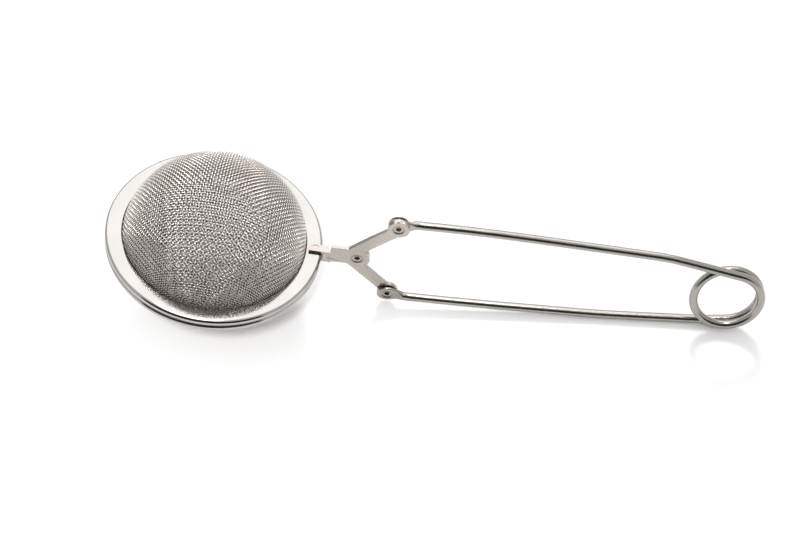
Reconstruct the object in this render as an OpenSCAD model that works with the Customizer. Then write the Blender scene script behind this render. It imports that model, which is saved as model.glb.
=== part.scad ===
// Squeeze-handle mesh tea ball.
// Two woven half domes are clamped in flat rims. Two crossed stamped arms carry the rims, one on
// each side of the seam, and turn on a rivet. One coiled spring wire pushes the arms' rear ends
// apart, which keeps the ball shut, and squeezing its legs together opens the ball.
// +X runs from the ball to the coil, +Y is away from the front plate, and +Z is up from the table
// that the ball and the coil lie on. The origin is on the table, under the middle of the outline.

/* [Ball] */
// Outer diameter of the rims
rim_d = 59; // [56:0.5:60]
// Width of a rim's flat face, from the mesh to the outer edge
rim_face_w = 4.55; // [3.5:0.05:5]
// Height of one rim, from the seam's middle to the flat face
rim_h = 2; // [1.8:0.05:2.2]
// Gap between the two rims when the ball is shut
seam_gap = 0.1; // [0.05:0.05:0.2]
// Thickness of the sheet that is folded into a rim
sheet_t = 0.7; // [0.5:0.05:0.75]
// Height of a dome above its rim's flat face
dome_h = 20.1; // [17:0.1:22]
// Distance from the pivot rivet to the ball's centre
ball_x = 39.1; // [38.5:0.1:40.5]
// Angle of the ball's seam to the handle's centre line
ball_tilt = 2.6; // [0:0.1:3]

/* [Arms] */
// Thickness of the stamped plates
plate_t = 1.1; // [0.9:0.05:1.2]
// Gap between the front plate and the rear plate
plate_gap = 0.1; // [0.06:0.02:0.2]
// Distance of the gap between the plates from the handle's middle plane, to the front
stack_shift = 0.45; // [0:0.05:0.6]
// Distance from the pivot rivet to each eye rivet
arm_r = 17.35; // [16.5:0.05:18]
// Angle of each eye rivet from the handle's centre line
arm_angle = 55.7; // [54:0.1:57]
// Slope of the straight stretch that ends in an eye boss
strip_angle = 45.5; // [44:0.5:47]
// Width of an arm's straight stretch
strip_w = 3.5; // [3:0.1:4]
// Distance of that stretch's middle line from the eye, on the side of the centre line
strip_shift = 0.3; // [0:0.05:0.4]
// Radius of the round boss at an eye rivet
boss_r = 2.97; // [2.8:0.01:3.2]
// Radius of the round end at the pivot rivet
pivot_end_r = 3.45; // [3.2:0.05:3.6]
// Length of the plate in front of the pivot rivet
bar_l = 7.4; // [7:0.1:7.8]
// Height of the plate's outer edge from the centre line
bar_outer = 3.85; // [3.5:0.05:4.1]
// Height of the plate's inner edge past the centre line
bar_inner = 1.9; // [1.5:0.05:2]
// Thickness of the tab that is welded to a rim
tab_t = 0.85; // [0.8:0.05:1.1]
// Distance of the tab's tip from the ball's centre
tab_tip = 25.7; // [25.5:0.1:26.5]

/* [Rivets] */
// Radius of a rivet's shank
shank_r = 1.3; // [1.2:0.05:1.4]
// Radius of the flared front end of a rivet
flare_r = 1.75; // [1.65:0.05:1.85]
// Radius of the dished hollow in the flared end
dish_r = 1.5; // [1.3:0.05:1.55]
// Radius of the small hole down a rivet's middle
bore_r = 0.65; // [0.5:0.05:0.75]
// Radius of the head at the back
head_r = 2.75; // [2.6:0.05:2.9]
// Height of the head at the back
head_h = 0.7; // [0.5:0.05:0.9]
// Running clearance round a shank, on the radius
pin_clear = 0.05; // [0.03:0.01:0.1]
// Extra clearance on the radius in the upper eye, which slides a little as the handle is squeezed
eye_slack = 0.7; // [0.66:0.01:0.75]

/* [Spring wire] */
// Diameter of the wire
wire_d = 2.4; // [2.2:0.05:2.4]
// Distance from the pivot rivet to the coil's centre
coil_x = 102.96; // [102:0.1:104]
// Mean radius of the coil
coil_r = 9.2; // [8.8:0.1:9.6]
// Distance between one turn of the coil and the next
coil_pitch = 2.5; // [2.45:0.01:2.7]
// Lean of the coil and legs about the centre line, top to the back
spring_lean = 14; // [13:0.5:15]
// Thickness of the flattened eyes
eye_t = 1.1; // [0.95:0.05:1.15]
// Radius of the flattened eyes
eye_r = 2.95; // [2.8:0.05:3.1]

/* [Rest] */
// Slope of the handle's centre line on the table, coil end down
rest_pitch = 4.45; // [4:0.05:5]

/* [Hidden] */

STEEL = [0.78, 0.77, 0.75];
MESH = [0.55, 0.53, 0.51];
RIVET = [0.7, 0.69, 0.67];
$fn = 96;
SMALL = 0.01;

// The rim is two layers of sheet with the mesh's edge between them, and a round fold outside.
rim_r = rim_d / 2;
mouth_r = rim_r - rim_face_w;
seam_z = seam_gap / 2;
fold_r = (rim_h - seam_z) / 2;
mesh_t = rim_h - seam_z - 2 * sheet_t;
mesh_z = seam_z + sheet_t;
return_step = 1.6;
return_mouth_r = mouth_r + return_step;
mesh_flange_w = 2.6;
dome_clear = 0.05;
dome_out_r = mouth_r - dome_clear;
dome_out_h = rim_h + dome_h - mesh_z;
DOME_STEP = 5;

// The plates' layers, from the front: the front one is the upper arm and the lower leg's eye.
front_y = -stack_shift - plate_gap / 2 - plate_t;
front_back_y = front_y + plate_t;
rear_front_y = front_back_y + plate_gap;
rear_y = rear_front_y + plate_t;
tab_reach = 2 * plate_t + plate_gap;
neck_x = rim_r + 0.15;
neck_end_x = ball_x - bar_l + 0.6;
tab_end_x = neck_end_x - 1.15;
neck_h = 2.7;
weld_r = 1;
weld_x = 27.4;
weld_depth = 0.12;
upper_crook_r = 2;
lower_crook_r = 5;
strip_l = 16.4;
cut_over = 1;
dish_depth = 0.55;
dish_floor = 0.7;
head_top = 0.75;
flare_depth = 0.45;
bore_depth = 1.6;
eye_u = [arm_r * cos(arm_angle), arm_r * sin(arm_angle)];

// The wire leaves the coil along its tangent, and each leg is a row of [length, turn] runs. Along
// its length it drifts sideways, more and more, until its eye lies in its layer of the plates.
coil_start = 9.5;
coil_end = 531;
COIL_STEPS = 48;
WIRE_SIDES = 12;
RING_STEP = 4;
upper_runs = [[17, 0], [8, 7.5], [36, 0], [30.5, 2.8]];
lower_runs = [[5, 0], [4, -4.2], [20, 0], [12, -2.3], [16, 0], [34, -1.3]];
upper_drift = -0.95;
lower_drift = 0.6;
leg_reach = 90;
neck_l = 1.6;
eye_shoulder = 0.95;
upper_neck_drop = -0.1;
lower_neck_drop = 0.35;

// The ball stands on the lower dome, whose lowest point is that of a tilted ellipse.
ball_pitch = rest_pitch + ball_tilt;
dome_reach = sqrt(pow(dome_out_r * sin(ball_pitch), 2) + pow(dome_out_h * cos(ball_pitch), 2));
ball_height = mesh_z * cos(ball_pitch) + dome_reach;
pivot_height = ball_height - ball_x * sin(rest_pitch);
front_end = -ball_x * cos(rest_pitch) - rim_r * cos(ball_pitch);
rear_end = coil_x * cos(rest_pitch) + coil_r + wire_d / 2;
middle_x = (front_end + rear_end) / 2;

// Lays the part on the table, from the frame of the handle with the pivot rivet at its origin.
module at_rest() {
    translate([-middle_x, 0, pivot_height])
        rotate([0, rest_pitch, 0])
            children();
}

// The ball's own frame: its centre at the origin and the seam at z = 0.
module at_ball() {
    at_rest()
        translate([-ball_x, 0, 0])
            rotate([0, ball_tilt, 0])
                children();
}

// The spring's own frame: the coil's centre at the origin and the coil's axis along y.
module at_spring() {
    at_rest()
        translate([coil_x, 0, 0])
            rotate([-spring_lean, 0, 0])
                children();
}

// Turns an outline drawn in x and z into a plate of thickness t whose front face is at y.
module plate(y, t) {
    translate([0, y + t, 0])
        rotate([90, 0, 0])
            linear_extrude(height = t)
                children();
}

// A cylinder along y from the face at y.
module y_cylinder(y, h, r, r_back) {
    translate([0, y, 0])
        rotate([-90, 0, 0])
            cylinder(h = h, r1 = r, r2 = r_back);
}

// ---- Ball ----

function dome_curve(r, h) =
    [for (a = [0:DOME_STEP:90]) [a == 90 ? 0 : r * cos(a), mesh_z + h * sin(a)]];
function reversed(list) = [for (i = [len(list) - 1:-1:0]) list[i]];

// One woven dome with the flange that its rim clamps, as a plain shell.
module mesh_shell() {
    outer = dome_curve(dome_out_r, dome_out_h);
    inner = dome_curve(dome_out_r - mesh_t, dome_out_h - mesh_t);
    rotate_extrude()
        polygon(concat(outer, reversed(inner)));
    rotate_extrude()
        translate([dome_out_r - mesh_t, mesh_z])
            square([mesh_flange_w + mesh_t, mesh_t]);
}

// One rim: the flat face, the round fold at the outer edge, and the layer folded back at the seam.
module rim_ring() {
    flat_w = rim_face_w - fold_r;
    rotate_extrude() {
        translate([mouth_r, rim_h - sheet_t])
            square([flat_w + SMALL, sheet_t]);
        translate([return_mouth_r, seam_z])
            square([rim_r - fold_r - return_mouth_r + SMALL, sheet_t]);
        translate([rim_r - fold_r, seam_z + fold_r])
            difference() {
                circle(r = fold_r);
                circle(r = fold_r - sheet_t);
                translate([-2 * fold_r, -fold_r])
                    square([2 * fold_r, 2 * fold_r]);
            }
    }
}

module upper_mesh_dome() {
    color(MESH)
        at_ball()
            mesh_shell();
}

module lower_mesh_dome() {
    color(MESH)
        at_ball()
            mirror([0, 0, 1])
                mesh_shell();
}

module upper_rim() {
    color(STEEL)
        at_ball()
            rim_ring();
}

module lower_rim() {
    color(STEEL)
        at_ball()
            mirror([0, 0, 1])
                rim_ring();
}

// ---- Arms ----

// The concave round between the bar's outer edge and the strip, tangent to both.
module crook(r) {
    up = [-sin(strip_angle), cos(strip_angle)];
    edge = eye_u + up * (strip_w / 2 - strip_shift);
    corner = [edge[0] - (edge[1] - bar_outer) / tan(strip_angle), bar_outer];
    reach = r * tan(strip_angle / 2);
    difference() {
        polygon([corner - [reach, 0], corner, corner + reach * [cos(strip_angle), sin(strip_angle)],
                 corner + [reach / 2, -reach]]);
        translate(corner + [-reach, r])
            circle(r = r);
    }
}

// An arm's outline in the plane of its plate: bar, pivot end, slanting strip and eye boss.
module arm_outline(crook_r) {
    translate([-bar_l, -bar_inner])
        square([bar_l, bar_inner + bar_outer]);
    circle(r = pivot_end_r);
    translate(eye_u)
        circle(r = boss_r);
    translate(eye_u)
        rotate(180 + strip_angle)
            translate([0, strip_shift - strip_w / 2])
                square([strip_l, strip_w]);
    crook(crook_r);
}

// The narrow neck beside the rim and the tab that lies on the rim's flat face, in the ball's frame.
module neck_and_tab(y) {
    translate([neck_x, y, rim_h + tab_t - neck_h])
        cube([neck_end_x - neck_x, plate_t, neck_h]);
    difference() {
        translate([tab_tip, y, rim_h])
            cube([tab_end_x - tab_tip, tab_reach, tab_t]);
        translate([weld_x, y + tab_reach / 2, rim_h + tab_t - weld_depth])
            cylinder(h = cut_over, r = weld_r);
    }
}

// The place of the upper or lower eye rivet.
module at_eye(side) {
    translate([eye_u[0], 0, side * eye_u[1]])
        children();
}

// A hole through the plate whose front face is at y.
module plate_hole(y, r) {
    y_cylinder(y - cut_over, plate_t + 2 * cut_over, r, r);
}

module upper_arm() {
    color(STEEL)
        difference() {
            union() {
                at_rest()
                    plate(front_y, plate_t)
                        arm_outline(upper_crook_r);
                at_ball()
                    neck_and_tab(front_y);
            }
            at_rest() {
                plate_hole(front_y, shank_r + pin_clear);
                rivet_flare(pin_clear);
                at_eye(1) {
                    plate_hole(front_y, shank_r);
                    rivet_flare(0);
                }
            }
        }
}

module lower_arm() {
    color(STEEL)
        difference() {
            union() {
                at_rest()
                    mirror([0, 0, 1])
                        plate(rear_front_y, plate_t)
                            arm_outline(lower_crook_r);
                at_ball()
                    mirror([0, 0, 1])
                        neck_and_tab(rear_front_y);
            }
            at_rest() {
                plate_hole(rear_front_y, shank_r);
                at_eye(-1)
                    plate_hole(rear_front_y, shank_r);
            }
        }
}

// ---- Rivets ----

// The cone of a rivet's flared front end, grown by a clearance.
module rivet_flare(clear) {
    y_cylinder(front_y, flare_depth, flare_r + clear, shank_r + clear);
}

// A semi-tubular rivet: flared and dished at the front, with a domed head behind the face at back_y.
module rivet(back_y) {
    difference() {
        union() {
            y_cylinder(front_y, back_y - front_y + head_h / 2, shank_r, shank_r);
            rivet_flare(0);
            y_cylinder(back_y, head_h, head_r, head_r * head_top);
        }
        y_cylinder(front_y - SMALL, dish_depth, dish_r, dish_r * dish_floor);
        y_cylinder(front_y - SMALL, bore_depth, bore_r, bore_r);
    }
}

module pivot_rivet() {
    color(RIVET)
        at_rest()
            rivet(rear_y);
}

module upper_eye_rivet() {
    color(RIVET)
        at_rest()
            at_eye(1)
                rivet(rear_front_y + eye_t + pin_clear);
}

module lower_eye_rivet() {
    color(RIVET)
        at_rest()
            at_eye(-1)
                rivet(rear_y);
}

// ---- Spring wire ----

// Points along a row of [length, turn] runs in a plane, as [x, z, heading].
function run_steps(run) = max(1, ceil(run[0] / RING_STEP));
function along(run, p) =
    let (n = run_steps(run), d = run[0] / n, a = run[1] / n)
    [for (k = 0, q = p; k <= n;
          q = [q[0] + d * cos(q[2] + a / 2), q[1] + d * sin(q[2] + a / 2), q[2] + a], k = k + 1) q];
function route(runs, p, i = 0) =
    i == len(runs) ? [p]
    : let (part = along(runs[i], p))
      concat([for (k = [0:len(part) - 2]) part[k]], route(runs, part[len(part) - 1], i + 1));

// The ring of points round the wire at c, square to a heading in the x and z plane.
function ring(c, heading) =
    [for (s = [0:WIRE_SIDES - 1])
        let (a = 360 * s / WIRE_SIDES, across = wire_d / 2 * cos(a))
        [c[0] - across * sin(heading), c[1] + wire_d / 2 * sin(a), c[2] + across * cos(heading)]];

// Skins a row of rings into one closed tube.
module skin(rings) {
    n = len(rings);
    m = WIRE_SIDES;
    sides = [for (i = [0:n - 2], s = [0:m - 1], tri = [0, 1])
        let (a = i * m + s, b = i * m + (s + 1) % m)
        tri == 0 ? [a, b, a + m] : [b, b + m, a + m]];
    first = [for (s = [m - 1:-1:0]) s];
    last = [for (s = [0:m - 1]) (n - 1) * m + s];
    points = [for (r = rings, p = r) p];
    polyhedron(points = points, faces = concat(sides, [first, last]), convexity = 6);
}

// Place and heading of the wire's middle at an angle round the coil, clockwise from the top.
function coil_point(a) = [coil_r * sin(a), coil_pitch * (a / 360 - 0.75), coil_r * cos(a)];
function coil_ring(a) = ring(coil_point(a), -a);

module wire_leg(at, runs, drift) {
    start = coil_point(at);
    heading = at > 180 ? 360 - at % 360 : 180 - at;
    line = route(runs, [start[0], start[2], heading]);
    skin([for (q = line)
        let (share = (start[0] - q[0]) / leg_reach)
        ring([q[0], start[1] + drift * share * share, q[1]], q[2])]);
}

// The flattened eye of a leg, with the neck that runs into the wire, in the plane of the plates.
module wire_eye(y, hole_r, drop) {
    neck_end = eye_r + neck_l;
    shoulder = eye_r * eye_shoulder;
    difference() {
        plate(y, eye_t) {
            circle(r = eye_r);
            polygon([[0, -shoulder], [neck_end, -drop - wire_d / 2],
                     [neck_end, -drop + wire_d / 2], [0, shoulder]]);
        }
        y_cylinder(y - cut_over, eye_t + 2 * cut_over, hole_r, hole_r);
    }
}

module upper_leg() {
    color(STEEL) {
        at_spring()
            wire_leg(coil_start, upper_runs, upper_drift);
        at_rest()
            at_eye(1)
                wire_eye(rear_front_y, shank_r + eye_slack, upper_neck_drop);
    }
}

module lower_leg() {
    color(STEEL) {
        at_spring()
            wire_leg(coil_end, lower_runs, lower_drift);
        at_rest()
            at_eye(-1)
                difference() {
                    wire_eye(front_y, shank_r + pin_clear, lower_neck_drop);
                    rivet_flare(pin_clear);
                }
    }
}

module spring_coil() {
    turn = coil_end - coil_start;
    color(STEEL)
        at_spring()
            skin([for (i = [0:COIL_STEPS]) coil_ring(coil_start + turn * i / COIL_STEPS)]);
}

upper_mesh_dome();
upper_rim();
lower_mesh_dome();
lower_rim();
upper_arm();
lower_arm();
pivot_rivet();
upper_eye_rivet();
lower_eye_rivet();
upper_leg();
spring_coil();
lower_leg();
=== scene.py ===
import math

import bmesh
import bpy
import numpy as np
from mathutils import Matrix, Vector


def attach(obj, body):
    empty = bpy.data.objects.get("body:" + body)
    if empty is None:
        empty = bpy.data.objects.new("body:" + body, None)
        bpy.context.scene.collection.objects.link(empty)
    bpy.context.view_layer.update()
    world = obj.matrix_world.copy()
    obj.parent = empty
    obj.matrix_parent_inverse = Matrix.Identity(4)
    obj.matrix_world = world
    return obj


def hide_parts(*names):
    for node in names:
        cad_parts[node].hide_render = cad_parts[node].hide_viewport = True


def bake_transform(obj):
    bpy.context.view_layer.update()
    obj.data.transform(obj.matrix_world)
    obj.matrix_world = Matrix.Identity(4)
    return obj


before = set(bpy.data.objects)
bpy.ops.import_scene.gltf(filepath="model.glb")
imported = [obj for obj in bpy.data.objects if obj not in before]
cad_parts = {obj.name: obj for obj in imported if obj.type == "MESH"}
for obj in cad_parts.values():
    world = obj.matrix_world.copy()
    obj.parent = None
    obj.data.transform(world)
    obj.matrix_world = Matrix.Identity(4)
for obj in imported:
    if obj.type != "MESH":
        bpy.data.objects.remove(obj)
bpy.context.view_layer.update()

MM = 0.001

# ---- Sizes of the part, in millimetres, as its solids have them ----
RIM_R = 29.5
MOUTH_R = 24.95
RIM_H = 2.0
SEAM_Z = 0.05
SHEET_T = 0.7
FOLD_R = (RIM_H - SEAM_Z) / 2
RETURN_MOUTH_R = 26.55
MESH_Z = 0.75
DOME_R = 24.9
DOME_H = 21.35
BALL_X = 39.1
BALL_TILT = math.radians(2.6)
REST_PITCH = math.radians(4.45)
MIDDLE_X = 22.39526
PIVOT_HEIGHT = 19.11844
ARM_R = 17.35
ARM_ANGLE = math.radians(55.7)
FRONT_Y = -1.6
REAR_FRONT_Y = -0.4
REAR_Y = 0.7
EYE_T = 1.1
TAB_T = 0.85
TAB_END_X = 31.15
WELD_X = 27.4
COIL_X = 102.96
COIL_R = 9.2
COIL_PITCH = 2.5
SPRING_LEAN = math.radians(14)
WIRE_R = 1.2
COIL_START = 9.5
COIL_END = 531.0
UPPER_RUNS = [(17, 0), (8, 7.5), (36, 0), (30.5, 2.8)]
LOWER_RUNS = [(5, 0), (4, -4.2), (20, 0), (12, -2.3), (16, 0), (34, -1.3)]
UPPER_DRIFT = -0.95
LOWER_DRIFT = 0.6
LEG_REACH = 90.0
NECK_X = 4.9

AT_REST = Matrix.Translation((-MIDDLE_X, 0, PIVOT_HEIGHT)) @ Matrix.Rotation(REST_PITCH, 4, "Y")
AT_BALL = AT_REST @ Matrix.Translation((-BALL_X, 0, 0)) @ Matrix.Rotation(BALL_TILT, 4, "Y")
AT_SPRING = AT_REST @ Matrix.Translation((COIL_X, 0, 0)) @ Matrix.Rotation(-SPRING_LEAN, 4, "X")
EYE_X = ARM_R * math.cos(ARM_ANGLE)
EYE_Z = ARM_R * math.sin(ARM_ANGLE)


def moved(points, matrix):
    """Points of a local frame in millimetres, as row-frame points in millimetres."""
    m = np.array(matrix)
    return points @ m[:3, :3].T + m[:3, 3]


def piece(name, verts, faces, body, material, nodes=(), sharp=40):
    """A new mesh piece from row-frame points in millimetres, riding on a body."""
    mesh = bpy.data.meshes.new(name)
    mesh.from_pydata((np.asarray(verts) * MM).tolist(), [], [tuple(f) for f in faces])
    mesh.validate()
    mesh.update()
    obj = bpy.data.objects.new(name, mesh)
    bpy.context.scene.collection.objects.link(obj)
    mesh.materials.append(material)
    mesh.shade_smooth()
    mesh.set_sharp_from_angle(angle=math.radians(sharp))
    if body:
        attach(obj, body)
    if nodes:
        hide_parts(*nodes)
    return obj


# ---- Materials ----

def steel(name, color, roughness, spread, scale, bump, stretch=(1, 1, 1), tint=0.04):
    """Stainless steel: fine stretched grain in the roughness and bump, and slow stains in the colour."""
    mat = bpy.data.materials.new(name)
    mat.use_nodes = True
    nt = mat.node_tree
    shader = nt.nodes["Principled BSDF"]
    shader.inputs["Metallic"].default_value = 1.0
    coords = nt.nodes.new("ShaderNodeTexCoord")
    mapping = nt.nodes.new("ShaderNodeMapping")
    mapping.inputs["Scale"].default_value = stretch
    grain = nt.nodes.new("ShaderNodeTexNoise")
    grain.inputs["Scale"].default_value = scale
    grain.inputs["Detail"].default_value = 4
    grain.inputs["Roughness"].default_value = 0.6
    stain = nt.nodes.new("ShaderNodeTexNoise")
    stain.inputs["Scale"].default_value = 120
    stain.inputs["Detail"].default_value = 3
    link = nt.links.new
    link(coords.outputs["Object"], mapping.inputs["Vector"])
    link(mapping.outputs["Vector"], grain.inputs["Vector"])
    link(coords.outputs["Object"], stain.inputs["Vector"])
    rough = nt.nodes.new("ShaderNodeMapRange")
    rough.inputs["From Min"].default_value = 0.3
    rough.inputs["From Max"].default_value = 0.7
    rough.inputs["To Min"].default_value = roughness - spread
    rough.inputs["To Max"].default_value = roughness + spread
    link(grain.outputs["Fac"], rough.inputs["Value"])
    link(rough.outputs["Result"], shader.inputs["Roughness"])
    ramp = nt.nodes.new("ShaderNodeValToRGB")
    ramp.color_ramp.elements[0].position = 0.3
    ramp.color_ramp.elements[1].position = 0.7
    ramp.color_ramp.elements[0].color = (*[c * (1 - tint) for c in color], 1)
    ramp.color_ramp.elements[1].color = (*[min(1, c * (1 + tint)) for c in color], 1)
    link(stain.outputs["Fac"], ramp.inputs["Fac"])
    link(ramp.outputs["Color"], shader.inputs["Base Color"])
    bumper = nt.nodes.new("ShaderNodeBump")
    bumper.inputs["Strength"].default_value = bump
    bumper.inputs["Distance"].default_value = 0.00002
    link(grain.outputs["Fac"], bumper.inputs["Height"])
    link(bumper.outputs["Normal"], shader.inputs["Normal"])
    return mat


def painted_inside_shade(mat, centre, share):
    """Paints shade on the sides of the wires that face the middle of the ball, where less light reaches."""
    nt = mat.node_tree
    link = nt.links.new
    coords = nt.nodes.new("ShaderNodeTexCoord")
    outward = nt.nodes.new("ShaderNodeVectorMath")
    outward.operation = "SUBTRACT"
    outward.inputs[1].default_value = centre
    unit = nt.nodes.new("ShaderNodeVectorMath")
    unit.operation = "NORMALIZE"
    facing = nt.nodes.new("ShaderNodeVectorMath")
    facing.operation = "DOT_PRODUCT"
    darkness = nt.nodes.new("ShaderNodeMapRange")
    darkness.inputs["From Min"].default_value = -0.1
    darkness.inputs["From Max"].default_value = 0.5
    darkness.inputs["To Min"].default_value = share
    darkness.inputs["To Max"].default_value = 1
    shade = nt.nodes.new("ShaderNodeVectorMath")
    shade.operation = "SCALE"
    shader = nt.nodes["Principled BSDF"]
    color = shader.inputs["Base Color"].links[0].from_socket
    link(coords.outputs["Object"], outward.inputs[0])
    link(outward.outputs["Vector"], unit.inputs[0])
    link(unit.outputs["Vector"], facing.inputs[0])
    link(coords.outputs["Normal"], facing.inputs[1])
    link(facing.outputs["Value"], darkness.inputs["Value"])
    link(color, shade.inputs[0])
    link(darkness.outputs["Result"], shade.inputs["Scale"])
    link(shade.outputs["Vector"], shader.inputs["Base Color"])


# Painted shade: the wire sides that face the middle of the ball keep this share of their colour.
INSIDE_SHADE_SHARE = 0.1
MESH_STEEL = steel("woven_wire_steel", (0.75, 0.705, 0.665), 0.14, 0.04, 3000, 0.3)
painted_inside_shade(MESH_STEEL, AT_BALL.translation * MM, INSIDE_SHADE_SHARE)
RIM_STEEL = steel("satin_rim_steel", (0.42, 0.405, 0.39), 0.10, 0.03, 2500, 0.3)
# Dark colour painted as shade on the rims' inner edges and inside their folds.
FOLD_SHADE_STEEL = steel("painted_fold_shade_steel", (0.12, 0.11, 0.10), 0.45, 0.06, 2500, 0.3)
# Dark colour painted as shade on the arms' edge faces that face up and towards the ball.
EDGE_SHADE_STEEL = steel("painted_edge_shade_steel", (0.17, 0.155, 0.145), 0.35, 0.07, 2200, 0.6)
PLATE_STEEL = steel("tumbled_plate_steel", (0.42, 0.385, 0.355), 0.28, 0.07, 2200, 0.6)
RIVET_STEEL = steel("pressed_rivet_steel", (0.39, 0.355, 0.325), 0.24, 0.05, 2600, 0.4)
WIRE_STEEL = steel("drawn_wire_steel", (0.37, 0.35, 0.325), 0.20, 0.05, 2600, 0.4, stretch=(0.06, 1, 1))


# ---- Woven domes ----

PITCH = 0.76
MESH_WIRE_R = {"upper": 0.155, "lower": 0.175}
CRIMP = {"upper": 0.155, "lower": 0.17}
WIRE_SIDES = 6
NET = 60
FLANGE_W = 1.3
WEAVE_TURN = {"upper": math.radians(-3), "lower": math.radians(41)}
DEPTH_SHARE = {"upper": 1.0, "lower": 0.983}  # the lower net ends at the table
FLANGE_LIFT = 0.27
MID_INSET = 0.26
LAST_CROSSING_Z = -1.5
FLANGE_START = 0.15
WAIST_SHARE = 0.012
WAIST_SHIFT = 0.3
MID_R = DOME_R - MID_INSET
MID_H = DOME_H - MID_INSET


def ellipse_walk(n, step):
    """n points down the dome's meridian, equal arcs apart, as (radius, height above the flange)."""
    fine = np.linspace(0, math.pi * 0.75, 40001)
    r, z = MID_R * np.sin(fine), MID_H * np.cos(fine)
    arc = np.concatenate([[0], np.cumsum(np.hypot(np.diff(r), np.diff(z)))])
    want = np.arange(n) * step
    a = np.interp(want, arc, fine)
    return MID_R * np.sin(a), MID_H * np.cos(a)


def weave_net():
    """One quarter of the net of crossings that flat woven mesh takes when it is drawn into a dome."""
    r, z = ellipse_walk(NET, PITCH)
    net = np.full((NET, NET, 3), np.nan)
    for k in range(NET):
        net[k, 0] = (r[k], 0, z[k])
        net[0, k] = (0, r[k], z[k])
    square = np.array([1 / MID_R ** 2, 1 / MID_R ** 2, 1 / MID_H ** 2])
    for d in range(2, 2 * NET - 1):
        i = np.arange(max(1, d - NET + 1), min(d, NET))
        j = d - i
        keep = (j >= 1) & (j < NET)
        i, j = i[keep], j[keep]
        a, b, c = net[i - 1, j], net[i, j - 1], net[i - 1, j - 1]
        good = ~np.isnan(a).any(1) & ~np.isnan(b).any(1)
        good &= np.maximum(a[:, 2], b[:, 2]) > LAST_CROSSING_Z
        if not good.any():
            continue
        i, j, a, b, c = i[good], j[good], a[good], b[good], c[good]
        x = a + b - c
        for _ in range(8):
            f = np.stack([((x - a) ** 2).sum(1) - PITCH ** 2,
                          ((x - b) ** 2).sum(1) - PITCH ** 2,
                          (x ** 2 * square).sum(1) - 1], 1)
            jac = np.stack([2 * (x - a), 2 * (x - b), 2 * x * square], 1)
            jac += np.eye(3) * 1e-9
            x = x - np.linalg.solve(jac, f[:, :, None])[:, :, 0]
        ok = (np.abs(((x - a) ** 2).sum(1) - PITCH ** 2) < 1e-3) & (((x - c) ** 2).sum(1) > 0.02)
        net[i[ok], j[ok]] = x[ok]
    return net


def wire_lines(net, along_first):
    """Each wire's row of crossings, as (points, over or under signs), over the whole dome."""
    lines = []
    for i in range(-NET + 1, NET):
        pts, signs = [], []
        for j in range(-NET + 1, NET):
            p = net[abs(i), abs(j)]
            if np.isnan(p).any():
                continue
            p = p * np.array([-1 if i < 0 else 1, -1 if j < 0 else 1, 1])
            if not along_first:
                q = net[abs(j), abs(i)] * np.array([-1 if j < 0 else 1, -1 if i < 0 else 1, 1])
                if np.isnan(q).any():
                    continue
                p = q
            pts.append(p)
            signs.append(1 if ((i + j) % 2 == 0) == along_first else -1)
        if len(pts) < 2:
            continue
        pts, signs = np.array(pts), np.array(signs)
        inside = np.nonzero(pts[:, 2] >= 0)[0]
        if len(inside) < 2:
            continue
        lo, hi = inside[0], inside[-1]
        chain = [(pts[k], signs[k]) for k in range(lo, hi + 1)]
        for edge, outer in ((lo, lo - 1), (hi, hi + 1)):
            if 0 <= outer < len(pts):
                t = pts[edge][2] / (pts[edge][2] - pts[outer][2])
                rim = pts[edge] + (pts[outer] - pts[edge]) * t
            else:
                rim = pts[edge].copy()
            rim[2] = 0
            out = rim / np.linalg.norm(rim)
            ends = [(rim + out * FLANGE_START, 0), (rim + out * FLANGE_W, 0)]
            chain = chain + ends if edge == hi else ends[::-1] + chain
        lines.append(chain)
    return lines


def crimped(chain, crimp):
    """Centre line and outward normals of one wire that passes over and under at its crossings."""
    pts = np.array([c[0] for c in chain], float)
    sign = np.array([c[1] for c in chain], float)
    normal = pts / np.array([MID_R ** 2, MID_R ** 2, MID_H ** 2])
    normal[0], normal[1], normal[-2], normal[-1] = ((0, 0, 1),) * 4
    normal /= np.linalg.norm(normal, axis=1)[:, None]
    line, normals = [], []
    n = len(pts)
    for k in range(n):
        lift = normal[k] * sign[k] * crimp
        if k < 2 or k >= n - 2:
            line.append(pts[k] + lift)
            normals.append(normal[k])
            continue
        for other, step in ((k - 1, 1 / 3), (k, 0), (k + 1, 1 / 3)):
            line.append(pts[k] + (pts[other] - pts[k]) * step + lift * (0.5 if step else 1))
            normals.append(normal[k])
    return np.array(line), np.array(normals)


def tubes(lines, radius, sides):
    """Closed tubes round many centre lines, as one mesh's points and faces."""
    verts, faces, base = [], [], 0
    ring_a = 2 * math.pi * (np.arange(sides) + 0.5) / sides
    for line, normals in lines:
        tangent = np.gradient(line, axis=0)
        tangent /= np.linalg.norm(tangent, axis=1)[:, None]
        side = np.cross(tangent, normals)
        side /= np.linalg.norm(side, axis=1)[:, None]
        up = np.cross(side, tangent)
        rings = (line[:, None, :]
                 + radius * np.cos(ring_a)[None, :, None] * side[:, None, :]
                 + radius * np.sin(ring_a)[None, :, None] * up[:, None, :])
        n = len(line)
        verts.append(rings.reshape(-1, 3))
        k = np.arange(n - 1)[:, None] * sides + base
        s = np.arange(sides)[None, :]
        t = (s + 1) % sides
        quad = np.stack([k + s, k + t, k + sides + t, k + sides + s], -1).reshape(-1, 4)
        faces.extend(quad.tolist())
        faces.append(list(range(base + sides - 1, base - 1, -1)))
        faces.append(list(range(base + (n - 1) * sides, base + n * sides)))
        base += n * sides
    return np.concatenate(verts), faces


def pressed(points):
    """The woven dome drawn in a little at half its height, and shifted along the handle there."""
    slack = np.sin(np.clip(points[:, 2:3] / MID_H, 0, 1) * math.pi)
    narrow = 1 - WAIST_SHARE * slack * np.array([1, 1, 0])
    return points * narrow + slack * np.array([WAIST_SHIFT, 0, 0])


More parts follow.
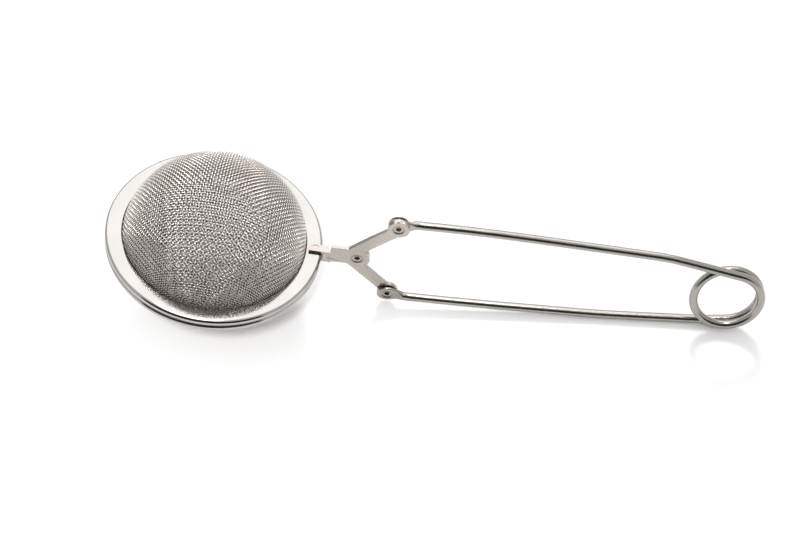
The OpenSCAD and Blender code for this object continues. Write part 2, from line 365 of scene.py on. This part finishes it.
def woven_dome(label, side, body, node):
    """Both families of wires of one half dome, each in two pieces."""
    turn = Matrix.Rotation(WEAVE_TURN[label], 4, "Z")
    flip = Matrix.Diagonal((1, 1, side, 1))
    depth = Matrix.Diagonal((1, 1, DEPTH_SHARE[label], 1))
    place = AT_BALL @ flip @ Matrix.Translation((0, 0, MESH_Z + FLANGE_LIFT)) @ depth @ turn
    for family, first in (("warp", True), ("weft", False)):
        lines = [crimped(c, CRIMP[label]) for c in wire_lines(NET_POINTS, first)]
        half = len(lines) // 2
        for part, chosen in (("a", lines[:half]), ("b", lines[half:])):
            verts, faces = tubes(chosen, MESH_WIRE_R[label], WIRE_SIDES)
            if side < 0:
                faces = [f[::-1] for f in faces]
            piece(f"woven_{label}_{family}_{part}", moved(pressed(verts), place), faces, body,
                  MESH_STEEL, (node,), sharp=80)


NET_POINTS = weave_net()
woven_dome("upper", 1, "upper_half", "upper_mesh_dome")
woven_dome("lower", -1, "lower_half", "lower_mesh_dome")


# ---- Rims ----

def arc(cx, cy, r, start, end, n):
    """Points of an arc from one angle to another, in degrees."""
    a = np.radians(np.linspace(start, end, n))
    return [(cx + r * math.cos(t), cy + r * math.sin(t)) for t in a]


def lathe(profile, segments, axis="Z"):
    """Turns a closed profile of (radius, height) points about an axis."""
    prof = np.array(profile, float)
    n = len(prof)
    a = 2 * math.pi * np.arange(segments) / segments
    r, h = prof[:, 0], prof[:, 1]
    x = np.cos(a)[:, None] * r[None, :]
    y = np.sin(a)[:, None] * r[None, :]
    z = np.broadcast_to(h, x.shape)
    verts = np.stack([x, y, z], -1) if axis == "Z" else np.stack([x, z, -y], -1)
    faces = []
    for k in range(segments):
        m = (k + 1) % segments
        for i in range(n):
            j = (i + 1) % n
            faces.append((k * n + i, m * n + i, m * n + j, k * n + j))
    return verts.reshape(-1, 3), faces


def rim(label, side, body, node):
    """A rim of sheet folded back round its outer edge, with painted shade on its inner edges and inside the
    fold.
    """
    fold_x, fold_z = RIM_R - FOLD_R, SEAM_Z + FOLD_R
    edge = 0.22
    top_in = [(MOUTH_R, RIM_H - SHEET_T + edge * 0.4)] + arc(MOUTH_R + edge, RIM_H - edge, edge, 180, 90, 5)
    face = [(x, RIM_H) for x in np.linspace(MOUTH_R + 0.8, fold_x - 0.4, 5)]
    outer = arc(fold_x, fold_z, FOLD_R, 90, -90, 25)
    back = arc(RETURN_MOUTH_R + edge, SEAM_Z + edge, edge, 270, 180, 4)
    back += [(RETURN_MOUTH_R, SEAM_Z + SHEET_T - 0.05), (RETURN_MOUTH_R + 0.08, SEAM_Z + SHEET_T)]
    inner = arc(fold_x, fold_z, FOLD_R - SHEET_T, -90, 90, 9)
    profile = top_in + face + outer + back + inner + [(MOUTH_R + 0.08, RIM_H - SHEET_T)]
    verts, faces = lathe(profile, 320)
    place = AT_BALL @ Matrix.Diagonal((1, 1, side, 1))
    if side > 0:
        faces = [f[::-1] for f in faces]
    obj = piece(f"{label}_rolled_rim", moved(verts, place), faces, body, RIM_STEEL, (node,))
    obj.data.materials.append(FOLD_SHADE_STEEL)
    n = len(profile)
    # Painted shade: the mouth's edge, the return edge and the inside of the fold take the dark material.
    shade_from = n - len(inner) - 5
    for poly in obj.data.polygons:
        if poly.index % n >= shade_from or poly.index % n == 0:
            poly.material_index = 1


rim("upper", 1, "upper_half", "upper_rim")
rim("lower", -1, "lower_half", "lower_rim")


# ---- Arms: the stamped plates with their edges rounded and the tab's bend ----

BEND_ROUND = 0.65
EDGE_ROUND = 0.2
WELD_Y = 1.15
WELD_R = 1.15


def rounded_arm(name, node, side, plate_y, body):
    """A copy of the arm's solid with its bend and edges rounded.

    The edge faces that face up and towards the ball have painted shade, and the others don't.
    """
    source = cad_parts[node]
    bm = bmesh.new()
    bm.from_mesh(source.data)
    bmesh.ops.remove_doubles(bm, verts=bm.verts, dist=2e-6)
    bmesh.ops.dissolve_limit(bm, angle_limit=math.radians(0.6), verts=bm.verts, edges=bm.edges)
    to_ball = (AT_BALL @ Matrix.Diagonal((1, 1, side, 1))).inverted()

    def local(v):
        return to_ball @ (v.co / MM)

    def is_bend(e):
        a, b = local(e.verts[0]), local(e.verts[1])
        level = RIM_H + TAB_T
        return (abs(a.z - level) < 0.02 and abs(b.z - level) < 0.02
                and abs(a.y - plate_y) < 0.02 and abs(b.y - plate_y) < 0.02
                and max(a.x, b.x) < TAB_END_X + 0.05)

    bends = [e for e in bm.edges if is_bend(e)]
    bmesh.ops.bevel(bm, geom=bends, offset=BEND_ROUND * MM, offset_type="OFFSET", segments=5, profile=0.5,
                    affect="EDGES", clamp_overlap=True)
    weld = Vector((WELD_X, plate_y + WELD_Y, RIM_H + TAB_T))

    def is_edge(e):
        if len(e.link_faces) != 2 or e.calc_face_angle(0) < math.radians(35):
            return False
        return all((local(v) - weld).length > WELD_R for v in e.verts)

    sharp = [e for e in bm.edges if is_edge(e)]
    bmesh.ops.bevel(bm, geom=sharp, offset=EDGE_ROUND * MM, offset_type="OFFSET", segments=3, profile=0.5,
                    affect="EDGES", clamp_overlap=True)
    mesh = bpy.data.meshes.new(name)
    bm.to_mesh(mesh)
    bm.free()
    obj = bpy.data.objects.new(name, mesh)
    bpy.context.scene.collection.objects.link(obj)
    mesh.materials.clear()
    mesh.materials.append(PLATE_STEEL)
    mesh.materials.append(EDGE_SHADE_STEEL)
    # Painted shade: edge faces that face up and towards the ball take the dark material.
    for poly in mesh.polygons:
        poly.material_index = 1 if poly.normal.z > 0.5 and poly.normal.x < -0.5 else 0
    mesh.shade_smooth()
    mesh.set_sharp_from_angle(angle=math.radians(35))
    obj.modifiers.new("flat_faces", "WEIGHTED_NORMAL").keep_sharp = True
    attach(obj, body)
    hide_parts(node)
    return obj


rounded_arm("upper_stamped_arm", "upper_arm", 1, FRONT_Y, "upper_half")
rounded_arm("lower_stamped_arm", "lower_arm", -1, REAR_FRONT_Y, "lower_half")


# ---- Rivets ----

def rivet(name, x, z, back_y, body, node):
    """A semi-tubular rivet: rolled and dished at the front, domed at the back."""
    f = FRONT_Y
    profile = [(0.02, f + 1.5), (0.4, f + 1.52), (0.62, f + 1.42), (0.66, f + 1.2), (0.68, f + 0.45)]
    profile += [(0.71, f + 0.35), (0.8, f + 0.31), (1.28, f + 0.3), (1.37, f + 0.27), (1.41, f + 0.2)]
    profile += [(1.42, f - 0.04), (1.45, f - 0.1), (1.52, f - 0.12), (1.62, f - 0.11), (1.7, f - 0.06)]
    profile += [(1.75, f + 0.02), (1.76, f + 0.12), (1.7, f + 0.2), (1.34, f + 0.45), (1.3, f + 0.5)]
    profile += [(1.3, back_y)]
    profile += [(2.62, back_y), (2.74, back_y + 0.08), (2.75, back_y + 0.2), (2.62, back_y + 0.36)]
    profile += [(2.3, back_y + 0.52), (1.7, back_y + 0.65), (0.9, back_y + 0.71), (0.02, back_y + 0.73)]
    verts, faces = lathe(profile, 64, axis="Y")
    verts = moved(verts + np.array([x, 0, z]), AT_REST)
    piece(name, verts, faces, body, RIVET_STEEL, (node,), sharp=50)


rivet("pivot_dished_rivet", 0, 0, REAR_Y, "lower_half", "pivot_rivet")
rivet("upper_eye_dished_rivet", EYE_X, EYE_Z, REAR_FRONT_Y + EYE_T + 0.05, "upper_half", "upper_eye_rivet")
rivet("lower_eye_dished_rivet", EYE_X, -EYE_Z, REAR_Y, "lower_half", "lower_eye_rivet")


# ---- Spring wire ----

SIDES = 28
RING = 2 * math.pi * np.arange(SIDES) / SIDES


def ring(c, heading):
    """The wire's round section at c in the spring's frame, square to a heading in degrees."""
    h = math.radians(heading)
    across = WIRE_R * np.cos(RING)
    return np.stack([c[0] - across * math.sin(h), c[1] + WIRE_R * np.sin(RING),
                     c[2] + across * math.cos(h)], -1)


def coil_point(a):
    """The wire's middle at an angle round the coil, in degrees, in the spring's frame."""
    t = math.radians(a)
    return (COIL_R * math.sin(t), COIL_PITCH * (a / 360 - 0.75), COIL_R * math.cos(t))


def leg_line(at, runs, step=1.0):
    """The leg's middle line as (x, z, heading), from the coil out."""
    x, _, z = coil_point(at)
    heading = 360 - at % 360 if at > 180 else 180 - at
    line = [(x, z, heading)]
    for length, turn in runs:
        n = max(1, math.ceil(length / step))
        d, a = length / n, turn / n
        for _ in range(n):
            mid = math.radians(heading + a / 2)
            x, z, heading = x + d * math.cos(mid), z + d * math.sin(mid), heading + a
            line.append((x, z, heading))
    return line


def skin(rings):
    """Points and faces of one closed tube through rings."""
    m = len(rings[0])
    faces = []
    for i in range(len(rings) - 1):
        for s in range(m):
            t = (s + 1) % m
            faces.append((i * m + s, i * m + t, (i + 1) * m + t, (i + 1) * m + s))
    faces.append(tuple(range(m - 1, -1, -1)))
    faces.append(tuple(range((len(rings) - 1) * m, len(rings) * m)))
    return np.concatenate(rings), faces


def eye_section(x, centre_y, centre_z, half_h, half_t, power):
    """A flattened section of the eye across the handle, from a round one at power 2 to a boxy one."""
    c, s = np.cos(RING), np.sin(RING)

    def shape(v):
        return np.sign(v) * np.abs(v) ** (2 / power)

    return np.stack([np.full(SIDES, x), centre_y + half_t * shape(s), centre_z + half_h * shape(c)], -1)


def leg(name, at, runs, drift, eye_z, eye_y, body, node, hole_r):
    """One leg of the spring wire, from the coil to its flattened eye."""
    start = coil_point(at)
    line = leg_line(at, runs)
    rings = []
    for x, z, heading in line:
        share = (start[0] - x) / LEG_REACH
        c = (x, start[1] + drift * share * share, z)
        flat = moved(ring(c, heading + 180), AT_SPRING)
        rings.append(moved(flat, AT_REST.inverted()))
    rings = [r for r in rings if r[:, 0].mean() > EYE_X + NECK_X]
    last = rings[-1].mean(0)
    stations = [4.5, 4.1, 3.7, 3.3, 2.9, 2.4, 1.8, 1.0, 0.0, -0.9, -1.6, -2.1, -2.5, -2.75, -2.9]
    for x in stations:
        f = min(1, max(0, (NECK_X - x) / 2.2))
        f = f * f * (3 - 2 * f)
        body_h = 2.5 * math.sqrt(max(0.02, 1 - (x / 2.95) ** 2)) if x < 1.2 else None
        if body_h is None:
            g = (x - 1.2) / 3.5
            body_h = 2.28 * (1 - g) ** 1.1 + WIRE_R * 0.98 * g
            body_h = max(body_h, WIRE_R * 0.98)
        cz = last[2] * (1 - f) + eye_z * f
        cy = last[1] * (1 - f) + eye_y * f
        half_t = WIRE_R * (1 - f) + EYE_T / 2 * f
        if x < -2.3:
            half_t *= math.sqrt(max(0.3, 1 - ((-x - 2.3) / 0.75) ** 2))
        rings.append(eye_section(EYE_X + x, cy, cz, body_h, half_t, 2 + 3 * f))
    verts, faces = skin(rings)
    obj = piece(name, moved(verts, AT_REST), faces, None, WIRE_STEEL, (), sharp=50)
    drill(obj, eye_z, eye_y, hole_r)
    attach(obj, body)
    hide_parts(node)
    return obj


def drill(obj, eye_z, eye_y, hole_r):
    """Cuts the eye's hole."""
    profile = [(0.0001, eye_y - 2), (hole_r, eye_y - 2), (hole_r, eye_y + 2), (0.0001, eye_y + 2)]
    verts, faces = lathe(profile, 48, axis="Y")
    verts = moved(verts + np.array([EYE_X, 0, eye_z]), AT_REST)
    mesh = bpy.data.meshes.new("drill")
    mesh.from_pydata((verts * MM).tolist(), [], faces)
    bm = bmesh.new()
    bm.from_mesh(mesh)
    bmesh.ops.remove_doubles(bm, verts=bm.verts, dist=1e-6)
    bmesh.ops.recalc_face_normals(bm, faces=bm.faces)
    bm.to_mesh(mesh)
    bm.free()
    cutter = bpy.data.objects.new("drill", mesh)
    bpy.context.scene.collection.objects.link(cutter)
    fix = bmesh.new()
    fix.from_mesh(obj.data)
    bmesh.ops.recalc_face_normals(fix, faces=fix.faces)
    fix.to_mesh(obj.data)
    fix.free()
    mod = obj.modifiers.new("hole", "BOOLEAN")
    mod.object = cutter
    mod.operation = "DIFFERENCE"
    mod.solver = "EXACT"
    dg = bpy.context.evaluated_depsgraph_get()
    cut = bpy.data.meshes.new_from_object(obj.evaluated_get(dg))
    obj.modifiers.clear()
    obj.data = cut
    cut.shade_smooth()
    cut.set_sharp_from_angle(angle=math.radians(50))
    bpy.data.objects.remove(cutter)


leg("upper_spring_wire_leg", COIL_START, UPPER_RUNS, UPPER_DRIFT, EYE_Z, REAR_FRONT_Y + EYE_T / 2,
    "upper_spring_leg", "upper_leg", 2.0)
leg("lower_spring_wire_leg", COIL_END, LOWER_RUNS, LOWER_DRIFT, -EYE_Z, FRONT_Y + EYE_T / 2,
    "lower_spring_leg", "lower_leg", 1.35)

turns = [ring(coil_point(a), -a) for a in np.linspace(COIL_START, COIL_END, 210)]
coil_verts, coil_faces = skin([moved(r, AT_SPRING) for r in turns])
coil = piece("spring_wire_coil", coil_verts, coil_faces, None, WIRE_STEEL, (), sharp=50)
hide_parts("spring_coil")
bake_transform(coil)


# ---- Stage, light and camera ----

def plain(name, color, roughness):
    """A matte stage material with a faint slow change of tone."""
    mat = bpy.data.materials.new(name)
    mat.use_nodes = True
    nt = mat.node_tree
    shader = nt.nodes["Principled BSDF"]
    shader.inputs["Roughness"].default_value = roughness
    noise = nt.nodes.new("ShaderNodeTexNoise")
    noise.inputs["Scale"].default_value = 8
    ramp = nt.nodes.new("ShaderNodeValToRGB")
    ramp.color_ramp.elements[0].color = (*[c * 0.985 for c in color], 1)
    ramp.color_ramp.elements[1].color = (*color, 1)
    nt.links.new(noise.outputs["Fac"], ramp.inputs["Fac"])
    nt.links.new(ramp.outputs["Color"], shader.inputs["Base Color"])
    return mat


def slab(name, corners, material):
    """One flat stage face."""
    mesh = bpy.data.meshes.new(name)
    mesh.from_pydata(corners, [], [(0, 1, 2, 3)])
    obj = bpy.data.objects.new(name, mesh)
    bpy.context.scene.collection.objects.link(obj)
    mesh.materials.append(material)
    return obj


FLOOR = 6.0
slab("floor", [(-FLOOR, -FLOOR, 0), (FLOOR, -FLOOR, 0), (FLOOR, FLOOR, 0), (-FLOOR, FLOOR, 0)],
     plain("white_table", (0.93, 0.93, 0.93), 0.7))
card = slab("dark_card", [(-1.6, -1.3, 0.0), (1.6, -1.3, 0.0), (1.6, -0.9, 1.7), (-1.6, -0.9, 1.7)],
            plain("black_card", (0.02, 0.02, 0.02), 0.8))
card.visible_camera = False
card.visible_diffuse = False
card.visible_shadow = False


def lamp(name, kind, at, toward, power):
    """A lamp that points from one place toward another and that the camera doesn't see."""
    light = bpy.data.lights.new(name, kind)
    light.energy = power
    obj = bpy.data.objects.new(name, light)
    bpy.context.scene.collection.objects.link(obj)
    obj.location = at
    obj.rotation_mode = "QUATERNION"
    obj.rotation_quaternion = (Vector(toward) - Vector(at)).to_track_quat("-Z", "Y")
    obj.visible_camera = False
    return obj


def softbox(name, at, size_x, size_y, power):
    """A rectangular lamp that points at the part."""
    obj = lamp(name, "AREA", at, (0, 0, 0), power)
    obj.data.shape = "RECTANGLE"
    obj.data.size, obj.data.size_y = size_x, size_y
    return obj


def table_spot(name, at, toward, degrees, radius, power):
    """A spot kept out of reflections, for the short soft shadows on the table."""
    obj = lamp(name, "SPOT", at, toward, power)
    obj.data.spot_size = math.radians(degrees)
    obj.data.spot_blend = 0.8
    obj.data.shadow_soft_size = radius
    obj.visible_glossy = False


back_box = softbox("back_softbox", (-0.1, 0.95, 1.3), 1.9, 1.35, 11)
back_box.visible_diffuse = False
overhead = softbox("overhead_softbox", (0.0, 0.1, 1.3), 0.38, 0.38, 7)
overhead.visible_diffuse = False
table_light = softbox("table_softbox", (0.0, 1.0, 0.9), 0.28, 0.28, 10)
table_light.visible_glossy = False
table_spot("ball_spot", (-0.08, -0.40, 0.60), (-0.075, -0.045, 0), 19, 0.05, 11)
table_spot("coil_spot", (0.085, -0.42, 0.60), (0.083, -0.035, 0), 7, 0.05, 7)

world = bpy.data.worlds.new("studio")
bpy.context.scene.world = world
world.use_nodes = True
world.node_tree.nodes["Background"].inputs["Color"].default_value = (1, 1, 1, 1)
world.node_tree.nodes["Background"].inputs["Strength"].default_value = 0.85

CAMERA_AT = (12.65373 - MIDDLE_X, -287.378, 364.90543 + PIVOT_HEIGHT)
CAMERA_ELEVATION = math.radians(52.0773)
CAMERA_AZIMUTH = math.radians(0.1641)
CAMERA_ROLL = math.radians(3.7070)
back = Vector((math.sin(CAMERA_AZIMUTH) * math.cos(CAMERA_ELEVATION),
               -math.cos(CAMERA_AZIMUTH) * math.cos(CAMERA_ELEVATION), math.sin(CAMERA_ELEVATION)))
right = (-back).cross(Vector((0, 0, 1))).normalized()
up = right.cross(-back)
right, up = (math.cos(CAMERA_ROLL) * right + math.sin(CAMERA_ROLL) * up,
             -math.sin(CAMERA_ROLL) * right + math.cos(CAMERA_ROLL) * up)
cam_data = bpy.data.cameras.new("camera")
cam_data.lens = 76.5
cam_data.sensor_width = 36
cam_data.clip_start = 0.01
camera = bpy.data.objects.new("camera", cam_data)
bpy.context.scene.collection.objects.link(camera)
pose = Matrix((right, up, back)).transposed().to_4x4()
pose.translation = Vector(CAMERA_AT) * MM
camera.matrix_world = pose
bpy.context.scene.camera = camera
bpy.context.scene.view_settings.view_transform = "Standard"
